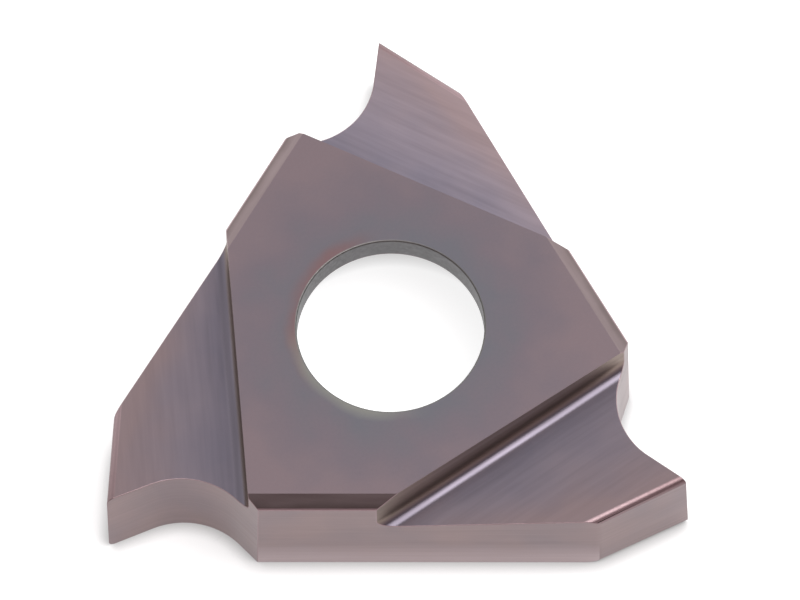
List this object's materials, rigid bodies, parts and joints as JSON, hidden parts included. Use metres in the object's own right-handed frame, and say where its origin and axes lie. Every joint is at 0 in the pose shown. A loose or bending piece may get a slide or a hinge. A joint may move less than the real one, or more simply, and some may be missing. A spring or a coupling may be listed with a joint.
{
  "type": "grooving insert",
  "caption": "Flat triangular grooving insert of coated carbide, each corner ground to a narrow tip with a hollow rake face, and a screw hole countersunk from the back.",
  "frame": {"origin": "on the axis of the screw hole, in the plateau face", "axes": "+Z along the hole's axis, out of the plateau face; -Y is the way one straight side of the plateau faces; +X runs along that side to the tip that its step ends in"},
  "size_m": [0.0139, 0.0128, 0.0032],
  "materials": {
    "grooving_insert": "satin brown-violet vapour coating on cemented carbide, ground at the tips"
  },
  "bodies": {
    "root": {"grooving_insert": "grooving_insert"}
  },
  "joints": []
}
